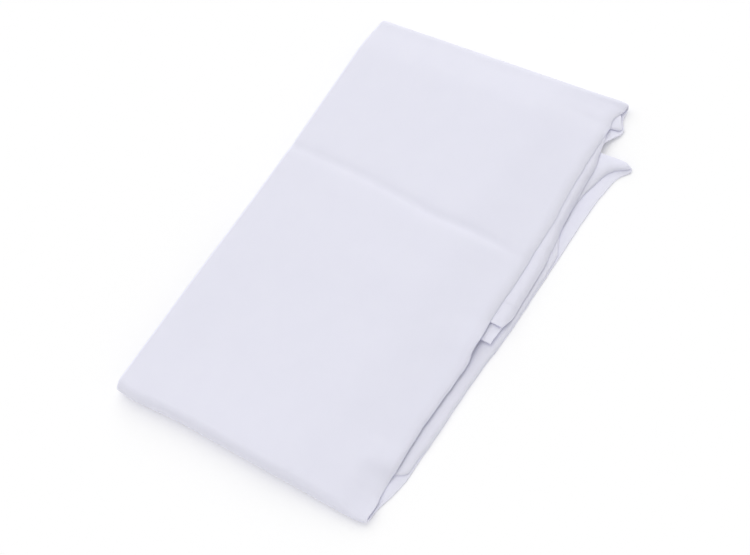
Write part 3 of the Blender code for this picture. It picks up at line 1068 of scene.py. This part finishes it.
@dataclass
class FoldedCase:
    """The whole case: one closed cloth with rounded rims."""

    NAME: ClassVar[str] = "pillowcase"

    stack: Stack = field(default_factory=Stack)
    cuts: Fineness = field(default_factory=Fineness)
    lift_band: float = 55 * MM      # how far in from the open edge a lift fades away
    lip_band: float = 36 * MM       # the same in the bottom panel
    far_tuck: float = 4.0 * MM      # how far the inside layer's far fold is drawn in
    tuck_band: float = 14 * MM
    squeeze_band: float = 22 * MM
    body_band: float = 8 * MM       # the stretch over which a rim thins

    def __post_init__(self) -> None:
        """Set up the edges and the lie of this case's cloth."""
        self.edges = {
            Side.OUTER: OpenEdge(self.stack, OUTER_EDGE),
            Side.INSIDE: OpenEdge(self.stack, INSIDE_EDGE),
        }
        self.lie = Lie(self.stack)
        self.folds = FineFolds(self.stack)

    def rim_turns(self) -> np.ndarray:
        """How far round its rounding a rim is cut, without the last place."""
        return np.linspace(0.0, math.pi / 2, self.cuts.rim_steps, endpoint=False)

    def rim(self) -> list[float]:
        """Distances in from a rim at which its rounding is cut, without the last one."""
        return (self.stack.sheet / 2 * (1 - np.cos(self.rim_turns()))).tolist()

    def inwards(self, side: Side) -> tuple[list[float], list[float]]:
        """Where the columns of one layer lie.

        Args:
            side: The layer.

        Returns:
            Distances in from the open edge, then shares of the width that is left.
        """
        cuts = self.cuts
        outer = side is Side.OUTER
        by_edge = cuts.outer_open if outer else cuts.inside_open
        left = self.stack.half_width - cuts.open_band
        count = round(left / (cuts.outer_column if outer else cuts.inside_column))
        shares = [*evenly(1.0, 0.0, count), cuts.left_gap / left]
        return self.rim() + by_edge.cut(self.stack.sheet / 2, cuts.open_band), shares

    def rows(self, inner_end: float) -> np.ndarray:
        """Where the rows of one column lie.

        Args:
            inner_end: Where the column's inner panel stops, from the near fold.

        Returns:
            Their travels, from the tucked-in end to the bottom panel's end.
        """
        stack = self.stack
        cuts = self.cuts
        radius = stack.sheet / 2
        first = stack.travel(Panel.INNER, inner_end)
        last = stack.travel(Panel.BOTTOM, stack.bottom_end)
        rows = [first + distance for distance in self.rim()]
        rows += cuts.tip.cut(first + radius, first + cuts.tip_band)
        longest = stack.travel(Panel.INNER, stack.inner_end_outer) + cuts.tip_band
        share = (first + cuts.tip_band) / longest
        inner = cuts.inner.cut(longest, -cuts.ear_band) + cuts.ear.cut(-cuts.ear_band, 0.0)
        rows += [place * share for place in inner]
        rows += evenly(0.0, stack.top_start, cuts.far_fold_steps)
        rows += cuts.top.cut(stack.top_start, stack.top_stop)
        rows += evenly(stack.top_stop, stack.bottom_start, cuts.near_fold_steps)
        rows += cuts.bottom.cut(stack.bottom_start, last - cuts.end_band)
        rows += cuts.end.cut(last - cuts.end_band, last - radius)
        rows += [last - distance for distance in reversed([*self.rim(), radius])]
        return np.array(rows)

    def places(self, side: Side, at: np.ndarray) -> list[tuple[np.ndarray, ...]]:
        """Where the columns of one layer lie across the case.

        Args:
            side: The layer.
            at: Travels of its rows.

        Returns:
            For each column, row by row: distance from the left fold, distance in from the
            rim, and how far down and how steep its cloth is there for having rolled down.
        """
        edge = self.edges[side]
        reach = edge.read("reach", at) + self.folds.wander(at, side)
        roll = Roll(edge.read("curl", at), edge.read("turn", at))
        level = np.zeros_like(at)
        distances, shares = self.inwards(side)
        places = []
        for distance in distances:
            inset = np.full_like(at, distance)
            back, down, heading = roll.at(inset)
            places.append((reach - back, inset, down, heading))
        for share in shares:
            x = (reach - self.cuts.open_band + roll.slack) * share
            places.append((x, reach - x, level, level))
        return places

    def squeeze(self, y: np.ndarray, z: np.ndarray, inset: np.ndarray) -> np.ndarray:
        """How far the outer layer is pressed down where the near right corner is shut.

        Args:
            y: Distances from the near fold.
            z: Heights before that.
            inset: Distances in from the rim.

        Returns:
            Amounts to sink by.
        """
        share = read_rows(CORNER_SQUEEZE, "place", "by", y, scale=1.0)
        height = np.maximum(z - self.stack.sheet / 2, 0)
        return share * height * smooth(1 - inset / self.squeeze_band)

    def layer(self, side: Side) -> list[np.ndarray]:
        """The columns of one layer, from its open edge in to the left fold.

        Args:
            side: The layer.

        Returns:
            For each column, its rows' X, Y, Z and the share of the thickness that is left.
        """
        stack = self.stack
        edge = self.edges[side]
        outer = side is Side.OUTER
        at = self.rows(stack.inner_end_outer if outer else stack.inner_end_inside)
        y, z, out_y, out_z = stack.spine(at)
        lift = edge.read("lift", at)
        body = edge.read("body", at)
        band = np.where(at > stack.top_stop, self.lip_band, self.lift_band)
        past = np.maximum(np.abs(at - stack.top_start / 2) - stack.top_start / 2, 0.0)
        tuck = np.zeros_like(at) if outer else self.far_tuck * bell(past / self.tuck_band)
        columns = []
        for x, inset, down, heading in self.places(side, at):
            near_edge = smooth(1 - inset / band)
            offset = side.value * stack.pitch / 2 - self.folds.relief(x, at)
            thinner = (1 - body) * smooth(1 - inset / self.body_band)
            drop = stack.sheet / 2 * thinner
            height = z + offset * out_z + lift * near_edge
            if outer:
                height = height - self.squeeze(y + offset * out_y, height, inset)
            columns.append(np.stack((x - drop * np.sin(heading),
                                     y + offset * out_y - tuck * near_edge,
                                     height - down - drop * np.cos(heading),
                                     1 - thinner), axis=1))
        return columns

    def left_fold(self) -> list[np.ndarray]:
        """The columns round the closed left fold, from the outer layer to the other one.

        Returns:
            For each column, its rows' X, Y, Z and the share of the thickness that is left.
        """
        stack = self.stack
        columns = []
        for share in evenly(0.0, 1.0, self.cuts.left_fold_steps)[1:]:
            angle = math.pi * share
            inner_end = stack.inner_end_outer * (1 - share) + stack.inner_end_inside * share
            at = self.rows(inner_end)
            y, z, out_y, out_z = stack.spine(at)
            x = np.full_like(at, -stack.pitch / 2 * math.sin(angle))
            offset = stack.pitch / 2 * math.cos(angle) - self.folds.relief(x, at)
            whole = np.ones_like(at)
            columns.append(np.stack((x, y + offset * out_y, z + offset * out_z, whole), axis=1))
        return columns

    def middle(self) -> tuple[np.ndarray, np.ndarray]:
        """The middle surface of the cloth.

        Returns:
            An array of columns, rows and X, Y, Z, and the share of its thickness that the
            cloth has at each of them.
        """
        inside = self.layer(Side.INSIDE)
        columns = np.array(self.layer(Side.OUTER) + self.left_fold() + inside[::-1])
        grid = self.lie.settle(columns[..., :3])
        grid[..., 0] -= self.stack.centre_across
        grid[..., 1] -= self.stack.centre_along
        return grid, columns[..., 3]

    def rounding(self, count: int) -> np.ndarray:
        """Share of the thickness along a line of places that starts and ends at a rim."""
        ramp = np.sin(self.rim_turns())
        return np.concatenate((ramp, np.ones(count - 2 * len(ramp)), ramp[::-1]))

    @staticmethod
    def normals(grid: np.ndarray) -> np.ndarray:
        """The directions at right angles to a grid's surface."""
        normal = np.cross(np.gradient(grid, axis=0), np.gradient(grid, axis=1))
        return normal / np.linalg.norm(normal, axis=-1, keepdims=True)

    def surfaces(self) -> tuple[np.ndarray, np.ndarray, np.ndarray]:
        """The cloth's two faces.

        Returns:
            The front face, the back face and the directions that the front looks in, each an
            array of columns, rows and X, Y, Z.
        """
        grid, body = self.middle()
        columns, rows, _ = grid.shape
        normal = self.normals(grid)
        rounding = np.minimum(self.rounding(columns)[:, None], self.rounding(rows)[None, :])
        half = (self.stack.sheet * rounding * body)[..., None] / 2
        front = grid + normal * half
        back = grid - normal * half
        for face in (front, back):
            low = face[..., 2] < self.lie.floor_press
            face[..., 2] = np.where(low, 0.0, face[..., 2])
        return front, back, normal

    def hem_runs(self, from_end: float, margin: int) -> list[tuple[np.ndarray, np.ndarray]]:
        """Where the hem of the tucked-in end is sewn.

        Args:
            from_end: How far the sewing is from the cloth's end.
            margin: Number of columns by each open edge that it leaves free.

        Returns:
            For each face of the cloth, the sewing's points and the outward directions there.
        """
        front, back, normal = self.surfaces()
        at = self.rows(self.stack.inner_end_outer)
        row = int(np.searchsorted(at, at[0] + from_end)) - 1
        share = (at[0] + from_end - at[row]) / (at[row + 1] - at[row])
        runs = []
        for face, turn in ((front, 1.0), (back, -1.0)):
            points = face[:, row] * (1 - share) + face[:, row + 1] * share
            runs.append((points[margin:-margin], turn * normal[margin:-margin, row]))
        return runs

    def build(self) -> bpy.types.Object:
        """Build the case's closed mesh.

        Returns:
            The finished object.
        """
        front, back, _ = self.surfaces()
        columns, rows, _ = front.shape
        inner = np.zeros((columns, rows), bool)
        inner[1:-1, 1:-1] = True
        front_index = np.arange(columns * rows).reshape(columns, rows)
        back_index = front_index.copy()
        back_index[inner] = columns * rows + np.arange(int(inner.sum()))
        vertices = np.concatenate((front.reshape(-1, 3), back[inner]))

        faces = []
        for index, order in ((front_index, 1), (back_index, -1)):
            corners = (index[:-1, :-1], index[1:, :-1], index[1:, 1:], index[:-1, 1:])
            faces.append(np.stack(corners, axis=-1).reshape(-1, 4)[:, ::order])
        faces = np.concatenate(faces)

        mesh = bpy.data.meshes.new(self.NAME)
        mesh.from_pydata(vertices.tolist(), [], faces.tolist())
        flat = self.flat_places()
        self.lay_out(mesh, np.concatenate((flat.reshape(-1, 2), flat[inner])))
        mesh.shade_smooth()
        log.info("%s: %d columns, %d rows, %d triangles", self.NAME, columns, rows,
                 2 * len(faces))
        return put_in_scene(self.NAME, mesh)

    def flat_places(self) -> np.ndarray:
        """Where the grid's points lie in the flat cloth.

        Returns:
            An array of columns, rows and the two distances, in metres.
        """
        left = self.stack.half_width - self.cuts.open_band
        halves = []
        for side in (Side.OUTER, Side.INSIDE):
            distances, shares = self.inwards(side)
            by_edge = [self.stack.half_width - distance for distance in distances]
            halves.append(np.array(by_edge + [left * share for share in shares]))
        fold = np.zeros(self.cuts.left_fold_steps - 1)
        across = np.concatenate((halves[0], fold, -halves[1][::-1]))
        along = self.rows(self.stack.inner_end_outer)
        return np.stack(np.meshgrid(across, along, indexing="ij"), axis=-1)

    @staticmethod
    def lay_out(mesh: bpy.types.Mesh, flat: np.ndarray) -> None:
        """Give a mesh its UV map.

        Args:
            mesh: The mesh.
            flat: For each of its vertices, the place in the flat cloth, in metres.
        """
        loops = np.zeros(len(mesh.loops), int)
        mesh.loops.foreach_get("vertex_index", loops)
        layer = mesh.uv_layers.new(name=CLOTH_MAP)
        layer.data.foreach_set("uv", flat[loops].ravel())


@dataclass
class HemStitches:
    """A run of stitches round a hem, made by geometry nodes along a path on the cloth."""

    NORMAL_LAYER: ClassVar[str] = "cloth_normal"
    UNIT_RADIUS: ClassVar[float] = 0.5      # of a bead 1 wide, which is stretched to a stitch

    name: str
    from_end: float = 16.0 * MM
    pitch: float = 2.6 * MM
    length: float = 2.1 * MM
    width: float = 0.34 * MM
    unevenness: float = 0.06
    free_columns: int = 6
    thread_sides: int = 8
    thread_rings: int = 6
    seed: int = 7

    def tree(self, material: bpy.types.Material) -> bpy.types.GeometryNodeTree:
        """Build the tree that lays stitches along a path.

        Args:
            material: The thread's material.

        Returns:
            The tree, with named inputs for its sizes.
        """
        tree = bpy.data.node_groups.new(f"{self.name} tree", "GeometryNodeTree")
        wiring = Wiring(tree)
        wiring.sockets("INPUT", "Geometry", "Path")
        wiring.sockets("INPUT", "Float", "Pitch", "Stitch length", "Thread width", "Unevenness")
        wiring.sockets("INPUT", "Int", "Seed")
        wiring.sockets("OUTPUT", "Geometry", "Stitches")
        given = wiring.node("NodeGroupInput").outputs

        curve = wiring.node("GeometryNodeMeshToCurve", {"Mesh": given["Path"]})
        points = wiring.node("GeometryNodeResampleCurve", {
            "Curve": curve.outputs["Curve"],
            "Length": given["Pitch"],
        }, mode="LENGTH")

        thread = wiring.node("GeometryNodeMeshUVSphere", {
            "Segments": self.thread_sides,
            "Rings": self.thread_rings,
            "Radius": self.UNIT_RADIUS,
        })
        size = wiring.node("ShaderNodeCombineXYZ", {
            "X": given["Stitch length"],
            "Y": given["Thread width"],
            "Z": given["Thread width"],
        })
        stitch = wiring.node("GeometryNodeTransform", {
            "Geometry": thread.outputs["Mesh"],
            "Scale": size.outputs["Vector"],
        })

        tangent = wiring.node("GeometryNodeInputTangent")
        normal = wiring.node("GeometryNodeInputNamedAttribute", {"Name": self.NORMAL_LAYER},
                             data_type="FLOAT_VECTOR")
        turn = wiring.node("FunctionNodeAxesToRotation", {
            "Primary Axis": tangent.outputs["Tangent"],
            "Secondary Axis": normal.outputs["Attribute"],
        }, primary_axis="X", secondary_axis="Z")
        jitter = wiring.node("FunctionNodeRandomValue", {
            "Min": wiring.compute("SUBTRACT", 1.0, given["Unevenness"]),
            "Max": wiring.compute("ADD", 1.0, given["Unevenness"]),
            "Seed": given["Seed"],
        }, data_type="FLOAT")

        place = wiring.node("GeometryNodeInstanceOnPoints", {
            "Points": points.outputs["Curve"],
            "Instance": stitch.outputs["Geometry"],
            "Rotation": turn.outputs["Rotation"],
            "Scale": jitter.outputs["Value"],
        })
        realize = wiring.node("GeometryNodeRealizeInstances",
                              {"Geometry": place.outputs["Instances"]})
        finish = wiring.node("GeometryNodeSetMaterial", {
            "Geometry": realize.outputs["Geometry"],
            "Material": material,
        })
        wiring.node("NodeGroupOutput", {"Stitches": finish.outputs["Geometry"]})
        return tree

    def path(self, lines: Sequence[tuple[np.ndarray, np.ndarray]]) -> bpy.types.Object:
        """Make the path that the stitches follow.

        Args:
            lines: For each run, its points and the cloth's outward directions there.

        Returns:
            An object of bare edges that carries the directions.
        """
        vertices = []
        edges = []
        directions = []
        for points, normals in lines:
            first = len(vertices)
            vertices += points.tolist()
            directions += normals.tolist()
            edges += [(first + index, first + index + 1) for index in range(len(points) - 1)]
        mesh = bpy.data.meshes.new(f"{self.name} path")
        mesh.from_pydata(vertices, edges, [])
        layer = mesh.attributes.new(self.NORMAL_LAYER, "FLOAT_VECTOR", "POINT")
        layer.data.foreach_set("vector", np.array(directions).ravel())
        return put_in_scene(mesh.name, mesh)

    def build(self, lines: Sequence[tuple[np.ndarray, np.ndarray]],
              material: bpy.types.Material) -> bpy.types.Object:
        """Lay the stitches and bake them to one plain mesh.

        Args:
            lines: For each run, its points and the cloth's outward directions there.
            material: The thread's material.

        Returns:
            The finished stitches.
        """
        carrier = self.path(lines)
        tree = self.tree(material)
        modifier = carrier.modifiers.new("stitches", "NODES")
        modifier.node_group = tree
        sizes = {
            "Pitch": self.pitch,
            "Stitch length": self.length,
            "Thread width": self.width,
            "Unevenness": self.unevenness,
            "Seed": self.seed,
        }
        for item in tree.interface.items_tree:
            if item.in_out == "INPUT" and item.name in sizes:
                modifier[item.identifier] = sizes[item.name]
        depsgraph = bpy.context.evaluated_depsgraph_get()
        depsgraph.update()
        mesh = bpy.data.meshes.new_from_object(carrier.evaluated_get(depsgraph))
        mesh.name = self.name
        mesh.shade_smooth()
        bpy.data.objects.remove(carrier, do_unlink=True)
        log.info("%s: %d faces", self.name, len(mesh.polygons))
        return put_in_scene(self.name, mesh)


class WeaveGroup:
    """The shader group of a plain weave, which the cloth and the thread share."""

    NAME = "plain weave"
    CROWN = 0.4             # how far a thread's height falls where it dives under the next one
    LONG_SLUB = 60.0        # noise for each metre along the thread that it runs in
    FINE_SLUB = 900.0       # and across that thread
    SLUB_DETAIL = 1.0
    CLOUD_SCALE = 55.0
    CLOUD_DETAIL = 3.0
    ODD = 0.25              # half an odd number has more than this after the point

    @classmethod
    def get(cls) -> bpy.types.ShaderNodeTree:
        """The group, built the first time that it is asked for."""
        return bpy.data.node_groups.get(cls.NAME) or cls.build()

    @classmethod
    def threads(cls, wiring: Wiring, vector: bpy.types.NodeSocket,
                pitch: bpy.types.NodeSocket) -> bpy.types.NodeSocket:
        """Add the nodes of threads that pass over and under each other.

        Args:
            wiring: The group that is being built.
            vector: Places on the flat cloth.
            pitch: From one thread to the next.

        Returns:
            Height, from 0 between the threads to 1 on top of them.
        """
        apart = wiring.node("ShaderNodeSeparateXYZ", {"Vector": vector}).outputs
        counts = [wiring.compute("DIVIDE", apart[axis], pitch) for axis in ("X", "Y")]
        rounds = []
        for place in counts:
            inside = wiring.compute("SUBTRACT", wiring.compute("FRACT", place), 0.5)
            rounds.append(wiring.compute("COSINE", wiring.compute("MULTIPLY", inside, math.pi)))
        whole = wiring.compute("ADD", *(wiring.compute("FLOOR", place) for place in counts))
        parity = wiring.compute("FRACT", wiring.compute("MULTIPLY", whole, 0.5))
        warp, weft = (
            wiring.compute("MULTIPLY", own,
                           wiring.compute("MULTIPLY_ADD", other, cls.CROWN, 1.0 - cls.CROWN))
            for own, other in (rounds, rounds[::-1])
        )
        on_top = wiring.node("ShaderNodeMix", {
            "Factor": wiring.compute("GREATER_THAN", parity, cls.ODD),
            "A": weft,
            "B": warp,
        })
        return on_top.outputs["Result"]

    @staticmethod
    def noise(wiring: Wiring, vector: bpy.types.NodeSocket, scale: float,
              detail: float) -> bpy.types.NodeSocket:
        """Add a noise and give its output, which goes from 0 to 1."""
        inputs = {"Vector": vector, "Scale": scale, "Detail": detail}
        return wiring.node("ShaderNodeTexNoise", inputs).outputs["Fac"]

    @classmethod
    def build(cls) -> bpy.types.ShaderNodeTree:
        """Build the group.

        Returns:
            A group with the inputs Vector, Thread pitch, Slub and Cloudiness, and the outputs
            Height, Shade and Cloud.
        """
        group = bpy.data.node_groups.new(cls.NAME, "ShaderNodeTree")
        wiring = Wiring(group)
        wiring.sockets("INPUT", "Vector", "Vector")
        wiring.sockets("INPUT", "Float", "Thread pitch", "Slub", "Cloudiness")
        wiring.sockets("OUTPUT", "Float", "Height", "Shade", "Cloud")
        given = wiring.node("NodeGroupInput").outputs
        weave = cls.threads(wiring, given["Vector"], given["Thread pitch"])

        slubs = []
        for scale in ((cls.FINE_SLUB, cls.LONG_SLUB, 1.0), (cls.LONG_SLUB, cls.FINE_SLUB, 1.0)):
            stretch = wiring.node("ShaderNodeMapping", {"Scale": scale, "Vector": given["Vector"]})
            slubs.append(cls.noise(wiring, stretch.outputs["Vector"], 1.0, cls.SLUB_DETAIL))
        slub = wiring.compute("SUBTRACT", wiring.compute("ADD", *slubs), 1.0)
        cloud = cls.noise(wiring, given["Vector"], cls.CLOUD_SCALE, cls.CLOUD_DETAIL)
        centred = wiring.compute("SUBTRACT", cloud, 0.5)
        wiring.node("NodeGroupOutput", {
            "Height": wiring.compute("MULTIPLY_ADD", slub, given["Slub"], weave),
            # Shade is the threads' height, which the finishes use to paint shade between the
            # threads and to polish their crowns
            "Shade": weave,
            "Cloud": wiring.compute("MULTIPLY", centred, given["Cloudiness"]),
        })
        return group


@dataclass(frozen=True)
class CottonFinish:
    """Bleached cotton, woven plain, a cool white."""

    name: str = "bleached cotton"
    colour: tuple[float, float, float] = (0.83, 0.83, 0.97)
    # the darker copy of the colour, painted as shade between the threads
    painted_shade: tuple[float, float, float] = (0.79, 0.79, 0.93)
    shade_at_gap: float = 0.55      # between the threads, where shade is painted: from the shade colour, 0, to the colour, 1
    shade_to_crown: float = 0.35    # and how much more than that on top of them, where less shade is painted
    roughness: float = 0.88
    crown_polish: float = 0.08
    gloss: float = 0.25
    sheen: float = 0.05
    sheen_roughness: float = 0.5
    soak: float = 0.5               # share of the light that goes in and spreads in the cloth
    soak_depth: float = 2.5 * MM
    thread_pitch: float = 0.36 * MM
    slub: float = 0.35
    cloudiness: float = 0.5
    bump_strength: float = 0.18
    bump_distance: float = 0.06 * MM
    cloth_map: str = CLOTH_MAP

    def place(self, wiring: Wiring) -> bpy.types.NodeSocket:
        """Add the node that says where on the cloth a point is.

        Args:
            wiring: The material that is being built.

        Returns:
            The node's output.
        """
        if self.cloth_map:
            return wiring.node("ShaderNodeUVMap", uv_map=self.cloth_map).outputs["UV"]
        return wiring.node("ShaderNodeTexCoord").outputs["Object"]

    def make(self) -> bpy.types.Material:
        """Build the material.

        Returns:
            The material, whose weave follows the cloth's own UV map.
        """
        material = bpy.data.materials.new(self.name)
        material.use_nodes = True
        wiring = Wiring(material.node_tree)
        weave = wiring.node("ShaderNodeGroup", node_tree=WeaveGroup.get())
        wiring.feed(weave, {
            "Vector": self.place(wiring),
            "Thread pitch": self.thread_pitch,
            "Slub": self.slub,
            "Cloudiness": self.cloudiness,
        })
        # Painted shade: the colour goes toward the shade colour where the threads are low, between
        # them, and back up on their crowns; the cloud adds random mottling
        crown = weave.outputs["Shade"]
        tone = wiring.compute("MULTIPLY_ADD", crown, self.shade_to_crown, self.shade_at_gap)
        colour = wiring.node("ShaderNodeMix", {
            "Factor": wiring.compute("ADD", tone, weave.outputs["Cloud"], clamp=True),
            "A": (*self.painted_shade, 1.0),
            "B": (*self.colour, 1.0),
        }, data_type="RGBA")
        bump = wiring.node("ShaderNodeBump", {
            "Strength": self.bump_strength,
            "Distance": self.bump_distance,
            "Height": weave.outputs["Height"],
        })
        wiring.feed(material.node_tree.nodes["Principled BSDF"], {
            "Base Color": colour.outputs["Result"],
            "Roughness": wiring.compute("MULTIPLY_ADD", crown, -self.crown_polish, self.roughness),
            "Normal": bump.outputs["Normal"],
            "Metallic": 0.0,
            "Specular IOR Level": self.gloss,
            "Sheen Weight": self.sheen,
            "Sheen Roughness": self.sheen_roughness,
            "Subsurface Weight": self.soak,
            "Subsurface Radius": (1.0, 1.0, 1.0),
            "Subsurface Scale": self.soak_depth,
        })
        return material


@dataclass(frozen=True)
class ThreadFinish(CottonFinish):
    """White sewing thread, a little smoother than the cloth."""

    name: str = "white sewing thread"
    colour: tuple[float, float, float] = (0.85, 0.85, 0.97)
    # the darker copy of the colour, painted as shade where its weave is low, as in the cloth
    painted_shade: tuple[float, float, float] = (0.77, 0.77, 0.91)
    roughness: float = 0.72
    thread_pitch: float = 0.17 * MM
    slub: float = 0.2
    cloudiness: float = 0.2
    bump_strength: float = 0.3
    bump_distance: float = 0.03 * MM
    cloth_map: str = ""             # it takes its place from the object instead


@dataclass
class Studio:
    """The plain pale floor, the soft light and the camera."""

    white: tuple[float, float, float, float] = (1.0, 1.0, 1.0, 1.0)
    floor_half: float = 6.0
    floor_drop: float = 0.1 * MM
    floor_colour: tuple[float, float, float, float] = (0.95, 0.95, 0.95, 1.0)
    floor_roughness: float = 0.9
    floor_gloss: float = 0.1
    floor_glow: float = 0.07
    sky_strength: float = 0.72
    sun_strength: float = 1.0
    sun_spread: float = math.radians(80)
    sun_from: tuple[float, float, float] = (-0.45, 0.55, 1.0)
    eye: tuple[float, float, float] = (379.144 * MM, -258.963 * MM, 674.305 * MM)
    elevation: float = math.radians(56.29606886)
    azimuth: float = math.radians(-57.536089)
    roll: float = math.radians(-28.47338927)
    lens: float = 59.568
    lens_width: float = 36.0
    nearest: float = 10 * MM

    def floor(self) -> bpy.types.Object:
        """Build the plain pale floor.

        Returns:
            The floor, whose top is just under the case.
        """
        half = self.floor_half
        corners = [(-half, -half), (half, -half), (half, half), (-half, half)]
        mesh = bpy.data.meshes.new("floor")
        mesh.from_pydata([(x, y, -self.floor_drop) for x, y in corners], [], [(0, 1, 2, 3)])
        material = bpy.data.materials.new("pale floor")
        material.use_nodes = True
        Wiring(material.node_tree).feed(material.node_tree.nodes["Principled BSDF"], {
            "Base Color": self.floor_colour,
            "Roughness": self.floor_roughness,
            "Specular IOR Level": self.floor_gloss,
            "Emission Color": self.white,
            "Emission Strength": self.floor_glow,
        })
        mesh.materials.append(material)
        return put_in_scene("floor", mesh)

    def light(self) -> None:
        """Put a white sky all round, and one broad soft lamp at the far left."""
        world = bpy.data.worlds.new("soft white room")
        world.use_nodes = True
        Wiring(world.node_tree).feed(world.node_tree.nodes["Background"], {
            "Color": self.white,
            "Strength": self.sky_strength,
        })
        bpy.context.scene.world = world
        lamp = bpy.data.lights.new("broad lamp", "SUN")
        lamp.energy = self.sun_strength
        lamp.angle = self.sun_spread
        backwards = np.array(self.sun_from) / np.linalg.norm(self.sun_from)
        sideways = np.cross((0.0, 0.0, 1.0), backwards)
        sideways = sideways / np.linalg.norm(sideways)
        upwards = np.cross(backwards, sideways)
        put_in_scene("broad lamp", lamp).matrix_world = facing(sideways, upwards, backwards)

    def camera(self) -> None:
        """Put up the camera, which looks down on the case from the near right."""
        ahead = np.array((math.sin(self.azimuth), math.cos(self.azimuth), 0.0))
        forward = ahead * math.cos(self.elevation) - np.array((0, 0, math.sin(self.elevation)))
        level = np.array((math.cos(self.azimuth), -math.sin(self.azimuth), 0.0))
        upright = np.cross(level, forward)
        sideways = math.cos(self.roll) * level + math.sin(self.roll) * upright
        upwards = math.cos(self.roll) * upright - math.sin(self.roll) * level
        place = facing(sideways, upwards, -forward)
        place.translation = self.eye
        lens = bpy.data.cameras.new("view")
        lens.lens = self.lens
        lens.sensor_width = self.lens_width
        lens.sensor_fit = "HORIZONTAL"
        lens.clip_start = self.nearest
        camera = put_in_scene("view", lens)
        camera.matrix_world = place
        bpy.context.scene.camera = camera

    def set_up(self) -> None:
        """Build the floor, the light and the camera."""
        self.floor()
        self.light()
        self.camera()
        bpy.context.scene.view_settings.view_transform = "Standard"
        log.info("studio: floor, sky, lamp and camera")


def main() -> None:
    """Load the frame, build the case and its stitches, and set the studio up."""
    logging.basicConfig(level=logging.INFO, format="%(name)s: %(message)s")
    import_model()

    folded = FoldedCase()
    case = folded.build()
    case.data.materials.append(CottonFinish().make())
    hem = HemStitches("hem_stitches")
    runs = folded.hem_runs(hem.from_end, hem.free_columns)
    stitches = hem.build(runs, ThreadFinish().make())
    for piece in (case, stitches):
        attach(piece, BODY)
    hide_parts("case")

    Studio().set_up()


if __name__ == "__main__":
    main()
